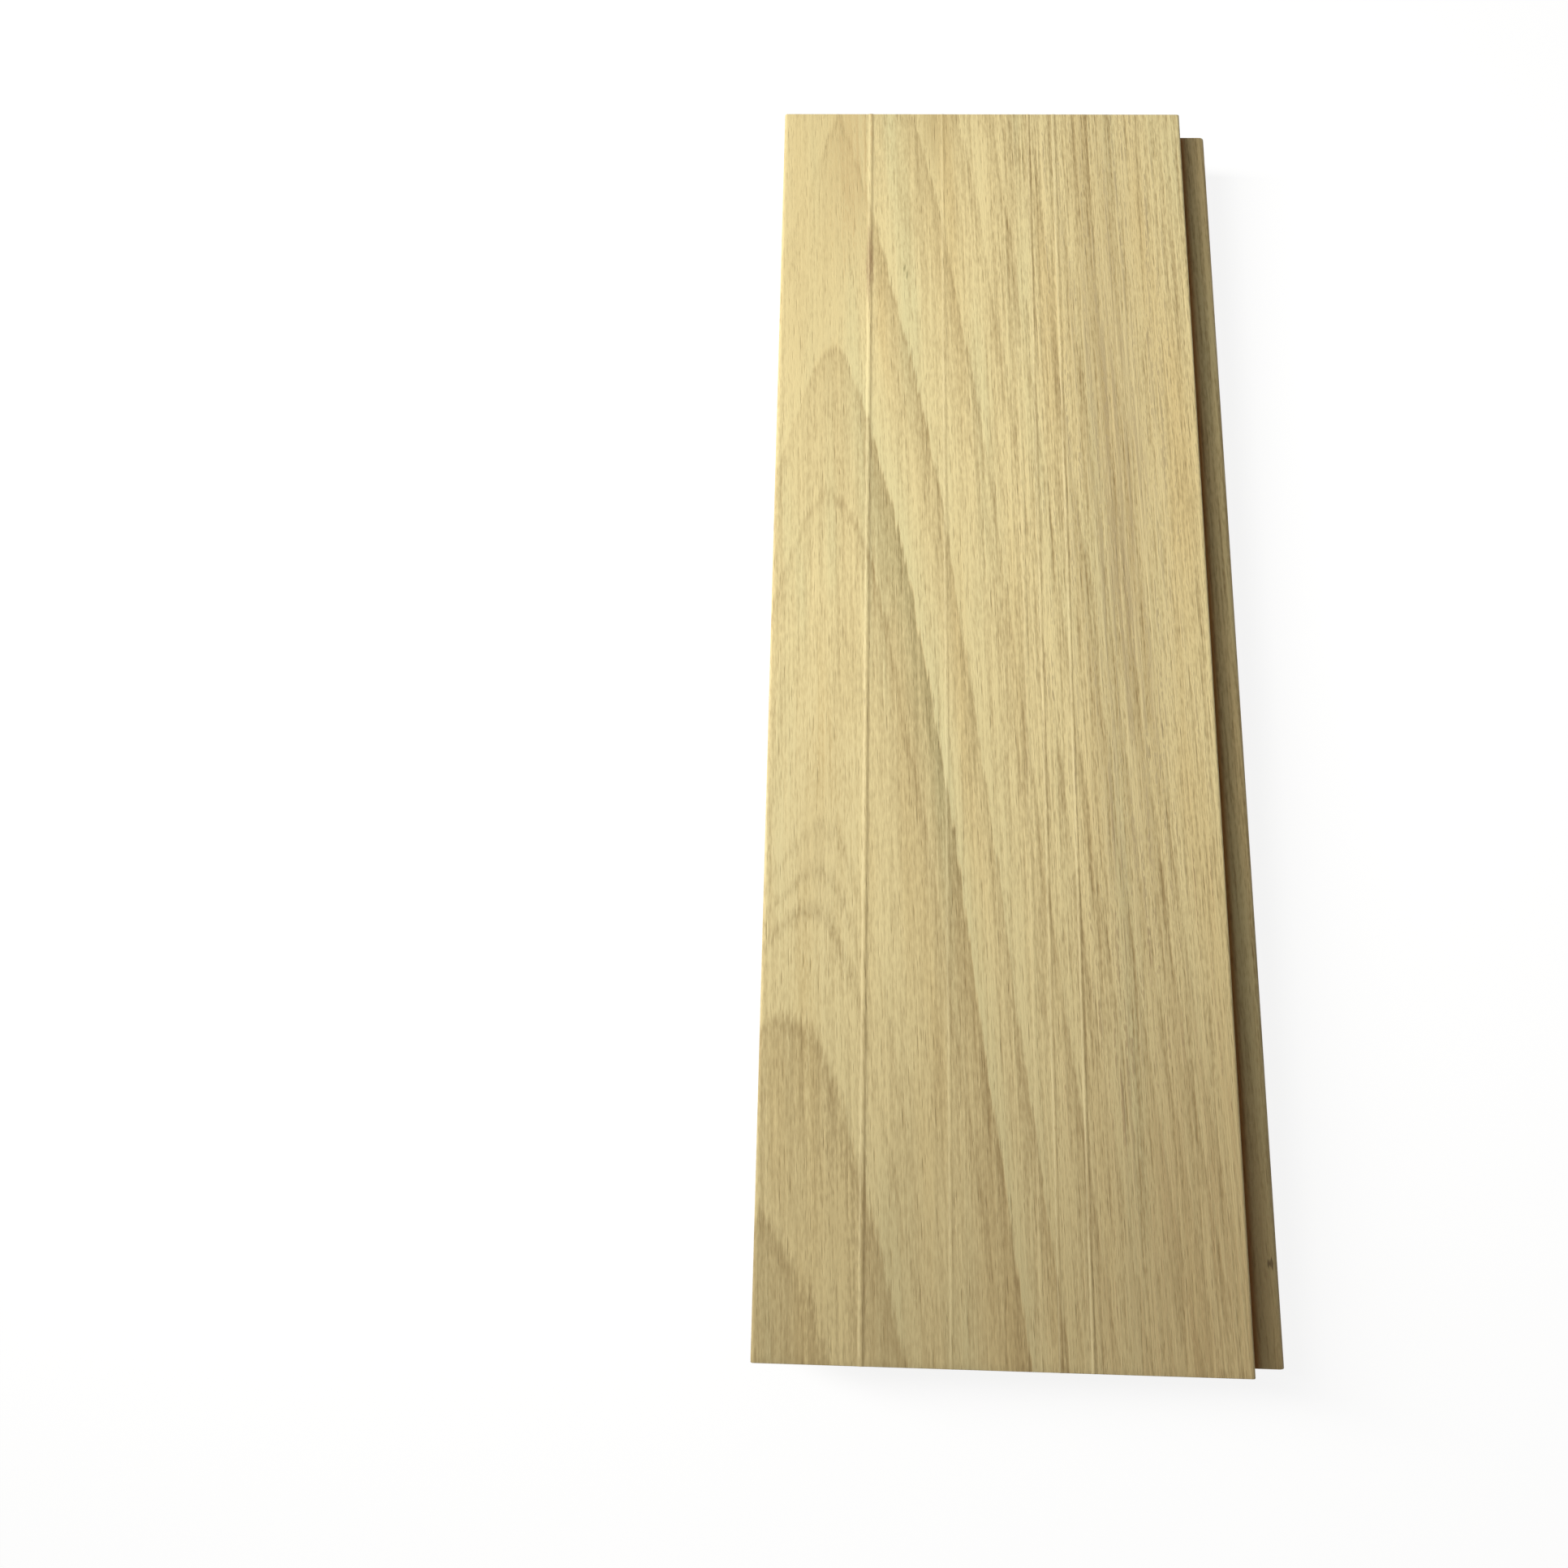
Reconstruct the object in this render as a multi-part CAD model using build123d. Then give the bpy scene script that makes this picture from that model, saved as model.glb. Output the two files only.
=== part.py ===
from build123d import *
import os

# A solid hardwood floorboard: one planed and moulded piece of timber, square cut at both ends.
# Frame: +X across the board towards its tongue, +Y along its grain, +Z up out of its face.
# Origin: on the underside, below the middle of the face, halfway along the board.

# Driving dimensions, in millimetres.
FACE_WIDTH = 90.0  # laid width, from one face arris to the other
BOARD_LENGTH = 265.0  # between the two square-cut ends
THICKNESS = 19.0  # underside to face
WEAR_LAYER = 7.0  # wood above the tongue, which sanding may take down
FACE_EASE = 0.5  # bevel on the two long arrises of the face
BACK_EASE = 1.0  # bevel on the two long arrises of the underside

TONGUE_LENGTH = 8.0  # reach of the tongue past the face
TONGUE_THICKNESS = 5.6
TONGUE_TIP_RADIUS = 1.2  # rounding of both edges of the tongue's tip

GROOVE_CLEARANCE = 0.2  # extra height of the groove over the tongue, shared above and below
GROOVE_TIP_ROOM = 0.8  # space left past a seated tongue's tip
GROOVE_CORNER_RADIUS = 0.6  # cutter rounding at the bottom of the groove
GROOVE_LEAD_IN = 0.5  # bevel on both edges of the groove's mouth
LOWER_LIP_SETBACK = 0.6  # the lower lip stops short, so that the face joint closes first

RELIEF_COUNT = 4  # channels along the underside that keep the board from cupping
RELIEF_WIDTH = 7.0
RELIEF_DEPTH = 3.0
RELIEF_PITCH = 16.0  # from the middle of one channel to the next
RELIEF_CORNER_RADIUS = 1.0

# Lines of the section, worked out from the dimensions above.
TONGUE_SHOULDER = FACE_WIDTH / 2
TONGUE_TIP = TONGUE_SHOULDER + TONGUE_LENGTH
TONGUE_TOP = THICKNESS - WEAR_LAYER
TONGUE_BOTTOM = TONGUE_TOP - TONGUE_THICKNESS
UPPER_LIP = -FACE_WIDTH / 2
LOWER_LIP = UPPER_LIP + LOWER_LIP_SETBACK
GROOVE_BACK = UPPER_LIP + TONGUE_LENGTH + GROOVE_TIP_ROOM
GROOVE_TOP = TONGUE_TOP + GROOVE_CLEARANCE / 2
GROOVE_BOTTOM = TONGUE_BOTTOM - GROOVE_CLEARANCE / 2

# Corners of the section, going round from the face arris on the groove side.
FACE_AT_GROOVE = (UPPER_LIP, THICKNESS)
FACE_AT_TONGUE = (TONGUE_SHOULDER, THICKNESS)
TONGUE_ROOT_TOP = (TONGUE_SHOULDER, TONGUE_TOP)
TONGUE_TIP_TOP = (TONGUE_TIP, TONGUE_TOP)
TONGUE_TIP_BOTTOM = (TONGUE_TIP, TONGUE_BOTTOM)
TONGUE_ROOT_BOTTOM = (TONGUE_SHOULDER, TONGUE_BOTTOM)
BACK_AT_TONGUE = (TONGUE_SHOULDER, 0)
BACK_AT_GROOVE = (LOWER_LIP, 0)
LOWER_LIP_MOUTH = (LOWER_LIP, GROOVE_BOTTOM)
GROOVE_BACK_BOTTOM = (GROOVE_BACK, GROOVE_BOTTOM)
GROOVE_BACK_TOP = (GROOVE_BACK, GROOVE_TOP)
UPPER_LIP_MOUTH = (UPPER_LIP, GROOVE_TOP)


def corners(outline, *places):
    """The outline's vertices that lie at the given places."""
    return [outline.vertices().sort_by_distance((*place, 0))[0] for place in places]


def moulded_section():
    """The board's cross-section: tongue on the +X edge, groove on the -X edge, channels below."""
    section = make_face(
        Polyline(
            FACE_AT_GROOVE,
            FACE_AT_TONGUE,
            TONGUE_ROOT_TOP,
            TONGUE_TIP_TOP,
            TONGUE_TIP_BOTTOM,
            TONGUE_ROOT_BOTTOM,
            BACK_AT_TONGUE,
            BACK_AT_GROOVE,
            LOWER_LIP_MOUTH,
            GROOVE_BACK_BOTTOM,
            GROOVE_BACK_TOP,
            UPPER_LIP_MOUTH,
            close=True,
        )
    )
    section = fillet(corners(section, TONGUE_TIP_TOP, TONGUE_TIP_BOTTOM), TONGUE_TIP_RADIUS)
    section = fillet(corners(section, GROOVE_BACK_TOP, GROOVE_BACK_BOTTOM), GROOVE_CORNER_RADIUS)
    section = chamfer(corners(section, UPPER_LIP_MOUTH, LOWER_LIP_MOUTH), GROOVE_LEAD_IN)
    section = chamfer(corners(section, FACE_AT_GROOVE, FACE_AT_TONGUE), FACE_EASE)
    section = chamfer(corners(section, BACK_AT_GROOVE, BACK_AT_TONGUE), BACK_EASE)
    return section - relief_channels()


def relief_channels():
    """The channels' sections: only their upper, rounded half lies in the board."""
    channel = RectangleRounded(RELIEF_WIDTH, 2 * RELIEF_DEPTH, RELIEF_CORNER_RADIUS)
    return GridLocations(RELIEF_PITCH, 0, RELIEF_COUNT, 1) * channel


def floorboard():
    """The moulded section, run along the grain for the board's whole length."""
    return extrude(Plane.XZ * moulded_section(), BOARD_LENGTH / 2, both=True)


os.makedirs("parts", exist_ok=True)
export_step(floorboard(), "parts/floorboard.step")
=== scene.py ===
"""A planed, unvarnished hardwood floorboard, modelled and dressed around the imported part.

Objects are in metres in the part's frame: +X across the board towards its tongue, +Y along the
grain, +Z up out of the face. The figure of the wood is worked out in millimetres.
"""

import logging
import math
from dataclasses import dataclass, field
from enum import Enum
from functools import partial
from itertools import accumulate, pairwise
from typing import Callable, ClassVar, NamedTuple, Sequence

import bmesh
import bpy
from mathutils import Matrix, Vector
from mathutils.geometry import intersect_point_line


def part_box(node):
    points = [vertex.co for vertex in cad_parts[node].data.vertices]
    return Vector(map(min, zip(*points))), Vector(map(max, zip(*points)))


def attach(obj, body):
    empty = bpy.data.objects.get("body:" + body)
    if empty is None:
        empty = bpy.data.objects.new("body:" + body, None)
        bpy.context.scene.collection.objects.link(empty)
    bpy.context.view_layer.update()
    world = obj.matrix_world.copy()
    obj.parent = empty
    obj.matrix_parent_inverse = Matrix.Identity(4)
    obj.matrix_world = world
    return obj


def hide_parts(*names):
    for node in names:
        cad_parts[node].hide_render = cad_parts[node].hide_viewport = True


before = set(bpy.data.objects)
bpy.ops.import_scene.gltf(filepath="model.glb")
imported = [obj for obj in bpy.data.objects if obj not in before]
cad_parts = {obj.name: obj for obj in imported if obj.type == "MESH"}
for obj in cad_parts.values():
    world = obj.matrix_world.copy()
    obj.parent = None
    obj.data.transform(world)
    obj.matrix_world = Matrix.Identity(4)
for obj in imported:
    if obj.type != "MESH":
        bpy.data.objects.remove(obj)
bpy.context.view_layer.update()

MM = 0.001
NODE = "floorboard"
BODY = "root"
BAKE_MAP = "OFBake"
LOG = logging.getLogger(NODE)

ACROSS = Vector((1.0, 0.0, 0.0))
ALONG = Vector((0.0, 1.0, 0.0))
UP = Vector((0.0, 0.0, 1.0))
NEAR = 0.01 * MM
ROUND = 0.5

Colour = tuple[float, float, float, float]
Triple = tuple[float, float, float]


def paint(red: int, green: int, blue: int) -> Colour:
    """A colour as it shows on a screen, made linear for a shader.

    Args:
        red: Red, from 0 to 255.
        green: Green, from 0 to 255.
        blue: Blue, from 0 to 255.

    Returns:
        The linear colour with full alpha.
    """
    shares = [channel / 255 for channel in (red, green, blue)]
    linear = [
        share / 12.92 if share <= 0.04045 else ((share + 0.055) / 1.055) ** 2.4 for share in shares
    ]
    return (*linear, 1.0)


@dataclass(frozen=True)
class Wire:
    """One output of a node sheet, which arithmetic carries on into further nodes."""

    sheet: "NodeSheet"
    socket: bpy.types.NodeSocket

    def __add__(self, other: "Wire | float") -> "Wire":
        """The sum with another value."""
        return self.sheet.math("ADD", self, other)

    def __sub__(self, other: "Wire | float") -> "Wire":
        """The difference from another value."""
        return self.sheet.math("SUBTRACT", self, other)

    def __rsub__(self, other: float) -> "Wire":
        """What is left of a number."""
        return self.sheet.math("SUBTRACT", other, self)

    def __mul__(self, other: "Wire | float") -> "Wire":
        """The product with another value."""
        return self.sheet.math("MULTIPLY", self, other)

    def __truediv__(self, other: "Wire | float") -> "Wire":
        """The quotient by another value."""
        return self.sheet.math("DIVIDE", self, other)

    def __abs__(self) -> "Wire":
        """The size of this value without its sign."""
        return self.sheet.math("ABSOLUTE", self)

    def at_least(self, other: "Wire | float") -> "Wire":
        """This value or another, whichever is larger."""
        return self.sheet.math("MAXIMUM", self, other)

    def at_most(self, other: "Wire | float") -> "Wire":
        """This value or another, whichever is smaller."""
        return self.sheet.math("MINIMUM", self, other)

    def past(self, start: float, softness: float) -> "Wire":
        """How far this value is past a start, about 0 before it and rounded off near it."""
        return self.sheet.math("SMOOTH_MAX", self - start, 0.0, softness)

    __radd__ = __add__
    __rmul__ = __mul__


class Spot(NamedTuple):
    """A place on or in the board, in millimetres, as wires."""

    whole: Wire
    x: Wire
    y: Wire
    z: Wire

    @property
    def sheet(self) -> "NodeSheet":
        """The sheet that the place is on."""
        return self.whole.sheet


@dataclass(frozen=True)
class NodeSheet:
    """Writes nodes into one shader or geometry tree."""

    tree: bpy.types.NodeTree

    def node(self, kind: str, **settings: object) -> bpy.types.Node:
        """Adds a node.

        Args:
            kind: Blender's name for the type of node.
            **settings: Properties to set on it.

        Returns:
            The new node.
        """
        made = self.tree.nodes.new(kind)
        for name, value in settings.items():
            setattr(made, name, value)
        return made

    def feed(self, socket: bpy.types.NodeSocket, value: "Wire | float | Sequence[float]") -> None:
        """Links a wire to an input, or sets the input to a plain value.

        Args:
            socket: The input.
            value: A wire, a number, or the numbers of a vector or colour.
        """
        if isinstance(value, Wire):
            self.tree.links.new(value.socket, socket)
        else:
            socket.default_value = value

    def set(self, made: bpy.types.Node, values: "dict[str, Wire | float | Colour]") -> None:
        """Feeds some of a node's inputs by their names."""
        for name, value in values.items():
            self.feed(made.inputs[name], value)

    def _fill(self, made: bpy.types.Node, values: "Sequence[Wire | float | Triple]") -> Wire:
        """Feeds a node's inputs in their order, and takes its first output."""
        for socket, value in zip(made.inputs, values):
            self.feed(socket, value)
        return Wire(self, made.outputs[0])

    def math(self, operation: str, *values: "Wire | float") -> Wire:
        """Works out one number from others by a Math node's operation."""
        return self._fill(self.node("ShaderNodeMath", operation=operation), values)

    def vector(self, operation: str, *values: "Wire | Triple") -> Wire:
        """Works out one vector from others by a Vector Math node's operation."""
        return self._fill(self.node("ShaderNodeVectorMath", operation=operation), values)

    def gather(self, *values: "Wire | float") -> Wire:
        """Joins three numbers into a vector."""
        return self._fill(self.node("ShaderNodeCombineXYZ"), values)

    def parts(self, whole: Wire) -> list[Wire]:
        """Splits a vector or colour into its three numbers."""
        made = self.node("ShaderNodeSeparateXYZ")
        self.feed(made.inputs[0], whole)
        return [Wire(self, output) for output in made.outputs]

    def length(self, whole: Wire) -> Wire:
        """The length of a vector."""
        made = self.node("ShaderNodeVectorMath", operation="LENGTH")
        self.feed(made.inputs[0], whole)
        return Wire(self, made.outputs["Value"])

    def spot(self, metres: Wire) -> Spot:
        """Turns a place in metres into one in millimetres, whole and by axis."""
        whole = self.vector("DIVIDE", metres, (MM, MM, MM))
        return Spot(whole, *self.parts(whole))

    def blend(
        self,
        share: "Wire | float",
        under: "Wire | Colour",
        over: "Wire | Colour",
        way: str = "MIX",
    ) -> Wire:
        """Lays one colour over another.

        Args:
            share: How much of the upper colour shows.
            under: The lower colour.
            over: The upper colour.
            way: The Mix node's blend type.

        Returns:
            The blended colour.
        """
        made = self.node("ShaderNodeMix", data_type="RGBA", blend_type=way)
        sockets = {socket.identifier: socket for socket in (*made.inputs, *made.outputs)}
        self.feed(sockets["Factor_Float"], share)
        self.feed(sockets["A_Color"], under)
        self.feed(sockets["B_Color"], over)
        return Wire(self, sockets["Result_Color"])


class Trend(NamedTuple):
    """A value that changes evenly with another one."""

    start: float
    slope: float

    def at(self, value: Wire) -> Wire:
        """What it is at the other one's value."""
        return value * self.slope + self.start


class Step(NamedTuple):
    """A soft step from 0 at one value to 1 at another, above or below it."""

    start: float
    end: float

    def at(self, value: Wire) -> Wire:
        """The step's height at a value."""
        sheet = value.sheet
        made = sheet.node("ShaderNodeMapRange", interpolation_type="SMOOTHSTEP")
        sheet.set(made, {"Value": value, "From Min": min(self), "From Max": max(self)})
        height = Wire(sheet, made.outputs[0])
        return height if self.end > self.start else 1.0 - height


@dataclass(frozen=True)
class Noise:
    """Smooth noise about zero, which mostly stays within a quarter of its weight.

    Grain is the size of its blotches along X, Y and Z, in millimetres. Detail is the number of
    finer layers on top, and roughness the weight of each of them.
    """

    grain: Triple
    detail: float = 2.0
    roughness: float = 0.5
    weight: float = 1.0

    def at(self, place: Wire) -> Wire:
        """The noise at a place in millimetres."""
        sheet = place.sheet
        made = sheet.node("ShaderNodeTexNoise")
        sheet.set(made, {"Vector": sheet.vector("DIVIDE", place, self.grain), "Scale": 1.0})
        sheet.set(made, {"Detail": self.detail, "Roughness": self.roughness})
        return (Wire(sheet, made.outputs[0]) - 0.5) * self.weight


@dataclass(frozen=True)
class Spindles:
    """Spindles strewn one to a cell, as cut vessels lie along the grain.

    Cell is a cell's size along X, Y and Z, in millimetres. Reach is half a spindle's length and
    width as a share of its cell, and core the share of that which has no soft rim.
    """

    cell: Triple
    reach: float
    core: float = 0.45

    def at(self, place: Wire, share: Wire) -> Wire:
        """How far a place is inside a spindle.

        Args:
            place: The place, in millimetres.
            share: Share of the cells that hold a spindle.

        Returns:
            1 inside a spindle, fading to 0 at its rim.
        """
        sheet = place.sheet
        made = sheet.node("ShaderNodeTexVoronoi")
        sheet.set(made, {"Vector": sheet.vector("DIVIDE", place, self.cell), "Scale": 1.0})
        inside = Step(self.reach, self.reach * self.core).at(Wire(sheet, made.outputs["Distance"]))
        lot = sheet.parts(Wire(sheet, made.outputs["Color"]))[0]
        return inside * sheet.math("LESS_THAN", lot, share)


@dataclass(frozen=True)
class AnnualRing:
    """One year's growth, from the ring before it out to its own edge.

    The tones run from 0 to 1. From spring at the inner edge the wood darkens to body where the
    latewood starts, its width in from the outer edge, then to latewood, and by line more in the
    last cells of the year. Pale is how far the spring wood is bleached, and olive how far the
    latewood is tinted.
    """

    edge: float
    body: float
    latewood: float
    line: float = 0.1
    width: float = 1.6
    spring: float = 0.0
    pale: float = 0.0
    olive: float = 0.0


class RingTones(NamedTuple):
    """What the growth rings show at a spot: the place among them, and tones from 0 to 1."""

    place: Wire
    latewood: Wire
    olive: Wire
    pale: Wire


@dataclass(frozen=True)
class GrowthRings:
    """Rings of the tree that the board was sawn from, a slender cone round a pith above the face.

    Distances are in millimetres: across from the groove edge, along from the far end, and above
    the face. The pith leans, and bends to the groove edge towards the near end. A ring's place is
    its distance from the pith, less the cone's taper, which fades where the grain runs straight
    along the tongue. The flank is the tongue's side of the pith, the limb the groove's side, and
    the apex the arches between them.
    """

    RINGS_IN_RAMP: ClassVar[int] = 7
    groove_edge: float
    far_end: float
    face: float
    pith_across: Trend = Trend(12.5, -0.007)
    pith_above: Trend = Trend(1.0, 0.065)
    bend_from: float = 170.0
    bend_softness: float = 38.0
    bend_slope: float = 0.17
    bend_reach: float = 45.0
    taper: float = 0.276
    straight_from: float = 30.0
    straight_softness: float = 18.0
    straight_fade: Trend = Trend(0.025, -0.00005)
    straight_most: float = 0.95
    flank: Step = Step(3.0, 15.0)
    flank_fray: Trend = Trend(0.45, 0.55)
    limb: Step = Step(-7.0, -1.0)
    limb_from: Step = Step(28.0, 62.0)
    limb_share: float = 0.58
    apex_from: Step = Step(180.0, 215.0)
    apex_share: Trend = Trend(0.36, 0.5)
    line_share: Trend = Trend(0.2, 0.8)
    line_fade: Step = Step(110.0, 150.0)
    line_loss: float = 0.6
    line_width: float = 0.5
    edge_blur: float = 0.3
    olive_from: Step = Step(60.0, 120.0)
    olive_until: Step = Step(195.0, 150.0)
    drift: Noise = Noise((40.0, 120.0, 40.0), detail=1.0, weight=3.0)
    wave: Noise = Noise((9.0, 60.0, 9.0), detail=1.0, weight=1.2)
    feather: Noise = Noise((0.5, 26.0, 0.5), weight=3.4)
    innermost: float = -60.0
    rings: tuple[AnnualRing, ...] = (
        AnnualRing(-49.5, 0.3, 0.36, 0.25, width=3.0),
        AnnualRing(-42.0, 0.22, 0.44, 0.15, width=4.0),
        AnnualRing(-37.5, 0.03, 0.1, 0.45, width=0.8, pale=0.3),
        AnnualRing(-36.0, 0.03, 0.08, 0.35, width=0.6),
        AnnualRing(-34.0, 0.06, 0.1, 0.3, width=0.9),
        AnnualRing(-19.0, 0.15, 0.36, 0.32, width=3.0, pale=0.1),
        AnnualRing(-11.5, 0.4, 0.54, 0.12, width=4.8, spring=0.22, olive=0.7),
        AnnualRing(1.0, 0.08, 0.36, 0.25, width=5.5, pale=1.0, olive=0.2),
        AnnualRing(17.5, 0.16, 0.32, width=4.5, pale=0.5),
        AnnualRing(27.5, 0.12, 0.26, width=3.0, pale=0.2),
        AnnualRing(35.0, 0.1, 0.28, width=2.5),
        AnnualRing(44.0, 0.16, 0.32, width=4.0),
        AnnualRing(50.0, 0.14, 0.28, width=2.5),
        AnnualRing(57.0, 0.24, 0.34, width=2.8),
        AnnualRing(62.0, 0.15, 0.22, width=2.5),
        AnnualRing(80.0, 0.02, 0.04, width=10.0),
    )

    def tones(self, spot: Spot) -> RingTones:
        """Where a spot lies among the rings, and how dark and olive its ring is there.

        Args:
            spot: The spot in the board.

        Returns:
            The place and the tones.
        """
        along = self.far_end - spot.y
        from_groove = spot.x - self.groove_edge
        near_groove = (1.0 - from_groove / self.bend_reach).at_least(0.0)
        bend = along.past(self.bend_from, self.bend_softness) * self.bend_slope * near_groove
        across = from_groove - self.pith_across.at(along) + bend
        below = self.pith_above.at(along) + self.face - spot.z
        radius = spot.sheet.math("SQRT", across * across + below * below)
        beyond = from_groove.past(self.straight_from, self.straight_softness)
        straight = (beyond * self.straight_fade.at(along)).at_most(self.straight_most)
        flank = self.flank.at(across)
        waver = self._waver(spot, self.flank_fray.at(flank))
        place = radius - along * self.taper * (1.0 - straight) + waver
        apex = self.apex_share.at(self.apex_from.at(along))
        kept = self.limb_from.at(along) * self.limb_share
        limb = self.limb.at(across) * (1.0 - kept) + kept
        share = (apex + flank * (1.0 - apex)) * limb
        late, line, olive, pale = self._years(place)
        lost = flank * self.line_fade.at(along) * self.line_loss
        crisp = self.line_share.at(limb) * (1.0 - lost)
        tinted = flank * self.olive_from.at(along) * self.olive_until.at(along)
        return RingTones(place, late * share + line * crisp, olive * tinted, pale * share)

    def _years(self, place: Wire) -> tuple[Wire, Wire, Wire, Wire]:
        """Reads the rings at a place among them.

        Args:
            place: The place, in millimetres.

        Returns:
            Darkness, edge line, olive tint and paleness there.
        """
        sheet = place.sheet
        tones = sheet.gather(0.0, 0.0, 0.0)
        pale = place * 0.0
        for first in range(0, len(self.rings), self.RINGS_IN_RAMP):
            start = self.rings[first - 1].edge if first else self.innermost
            ramp = self._ramp(place, start, self.rings[first : first + self.RINGS_IN_RAMP])
            tones = sheet.vector("ADD", tones, Wire(sheet, ramp.outputs["Color"]))
            pale = pale + Wire(sheet, ramp.outputs["Alpha"])
        return (*sheet.parts(tones), pale)

    def _waver(self, spot: Spot, frayed: Wire) -> Wire:
        """How far the rings drift and wave outward, and how far their edges step by fibres."""
        bowed = self.drift.at(spot.whole) + self.wave.at(spot.whole)
        return bowed + self.feather.at(spot.whole) * frayed

    def _ramp(self, place: Wire, start: float, rings: Sequence[AnnualRing]) -> bpy.types.Node:
        """A colour ramp that darkens through each ring and starts light again in the next.

        Args:
            place: The place among the rings.
            start: Inner edge of the first ring.
            rings: The rings, from the inside out.

        Returns:
            The ramp: wood as red, edge lines as green, olive tint as blue, paleness as alpha.
        """
        made = place.sheet.node("ShaderNodeValToRGB")
        span = rings[-1].edge - start
        place.sheet.feed(made.inputs[0], (place - start) / span)
        stops = made.color_ramp.elements
        for stop, position in zip(stops, (0.0, 1.0)):
            stop.position = position
            stop.color = (0.0, 0.0, 0.0, 0.0)
        edges = [start, *(ring.edge for ring in rings)]
        for ring, (inside, outside) in zip(rings, pairwise(edges)):
            late_from = max(outside - ring.width, (inside + outside) / 2)
            late_until = outside - self.edge_blur
            for at, colour in (
                (inside + self.edge_blur, (ring.spring, 0.0, 0.0, ring.pale)),
                (late_from, (ring.body, 0.0, ring.olive, 0.0)),
                (late_until - self.line_width, (ring.latewood, 0.0, ring.olive, 0.0)),
                (late_until, (ring.latewood, ring.line, ring.olive, 0.0)),
            ):
                stops.new((at - start) / span).color = colour
        return made


class Side(Enum):
    """A long side of the board, by the sign of its X."""

    GROOVE = -1
    TONGUE = 1


@dataclass(frozen=True)
class KnifeMark:
    """A straight ridge along the face, left by a nick in a planer knife. Sizes are in millimetres.

    Two shares paint light and shade on its flanks: painted shade on the flank towards the tongue,
    and a painted highlight on the flank towards the groove, as light from the groove's side falls
    on the ridge.
    """

    CUTS: ClassVar[int] = 6
    x: float
    width: float
    height: float
    # Shares of painted shade on the tongue flank and painted highlight on the groove flank.
    flank_shade: float = 0.0
    flank_highlight: float = 0.0

    def ridge(self, spot: Spot) -> Wire:
        """How much of the ridge's height shows at a spot, up to 1 on its middle line."""
        return Step(self.width / 2, 0.0).at(abs(spot.x - self.x))

    def flank(self, spot: Spot, side: Side) -> Wire:
        """How far a spot lies on one flank of the ridge, up to 1 on the flank's middle line."""
        middle = self.x + side.value * self.width / 4
        return Step(self.width / 4, 0.0).at(abs(spot.x - middle))

    def lines(self) -> list[float]:
        """Where the face is cut along the ridge so that its shape can be raised."""
        half = self.CUTS // 2
        return [self.x + self.width * number / self.CUTS for number in range(-half, half + 1)]


@dataclass(frozen=True)
class Stain:
    """A soft spot of another colour in the wood. Places and sizes are in millimetres.

    Fray is how far the fibres carry its rim, and streaks how much of it shows in only some of
    the fibres.
    """

    centre: Triple
    reach: Triple
    colour: Colour
    strength: float
    fray: float = 1.5
    streaks: float = 0.0
    rim: Step = Step(1.0, 0.3)

    def share(self, spot: Spot, fibres: Wire, streak: Wire) -> Wire:
        """How much of the stain shows at a spot.

        Args:
            spot: The place in the wood.
            fibres: The fibre streaks, which fray the rim.
            streak: 1 in the fibres that take up stains, 0 in the others.

        Returns:
            Its share of the colour.
        """
        sheet = spot.sheet
        offset = sheet.vector("SUBTRACT", spot.whole, self.centre)
        distance = sheet.length(sheet.vector("DIVIDE", offset, self.reach)) + fibres * self.fray
        taken_up = Trend(1.0 - self.streaks, self.streaks).at(streak)
        return self.rim.at(distance) * self.strength * taken_up


@dataclass(frozen=True)
class FaceRelief:
    """Shallow shapes that planing leaves on the face, pressed inward from the CAD surface.

    Sizes are in millimetres. The rim is where the relief sets in, measured up from the face.
    """

    rings: GrowthRings
    marks: tuple[KnifeMark, ...]
    face: float
    allowance: float = 0.16
    latewood_rise: float = 0.03
    waviness: Noise = Noise((14.0, 60.0, 14.0), detail=1.0, weight=0.03)
    combing: Noise = Noise((0.8, 25.0, 0.8), weight=0.03)
    rim: Step = Step(-0.6, -0.05)

    def press(self, piece: bpy.types.Object) -> None:
        """Presses the relief into a finely divided board.

        Args:
            piece: The board.
        """
        tree = bpy.data.node_groups.new("planed_face_relief", "GeometryNodeTree")
        tree.interface.new_socket("Geometry", in_out="INPUT", socket_type="NodeSocketGeometry")
        tree.interface.new_socket("Geometry", in_out="OUTPUT", socket_type="NodeSocketGeometry")
        sheet = NodeSheet(tree)
        source = sheet.node("NodeGroupInput")
        result = sheet.node("NodeGroupOutput")
        shift = sheet.node("GeometryNodeSetPosition")
        spot = sheet.spot(Wire(sheet, sheet.node("GeometryNodeInputPosition").outputs[0]))
        tree.links.new(source.outputs[0], shift.inputs["Geometry"])
        tree.links.new(shift.outputs["Geometry"], result.inputs[0])
        sheet.feed(shift.inputs["Offset"], sheet.gather(0.0, 0.0, self._depth(spot) * -MM))
        modifier = piece.modifiers.new("planed_face_relief", "NODES")
        modifier.node_group = tree
        bpy.context.view_layer.objects.active = piece
        bpy.ops.object.modifier_apply(modifier=modifier.name)

    def _depth(self, spot: Spot) -> Wire:
        """How far below the CAD face each point goes.

        Args:
            spot: The point.

        Returns:
            The depth, in millimetres, and nothing away from the face.
        """
        raised = self.rings.tones(spot).latewood * self.latewood_rise
        uneven = self.waviness.at(spot.whole) + self.combing.at(spot.whole)
        depth = self.allowance - raised + uneven
        for mark in self.marks:
            depth = depth - mark.ridge(spot) * mark.height
        return depth.at_least(0.0) * self.rim.at(spot.z - self.face)


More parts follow.
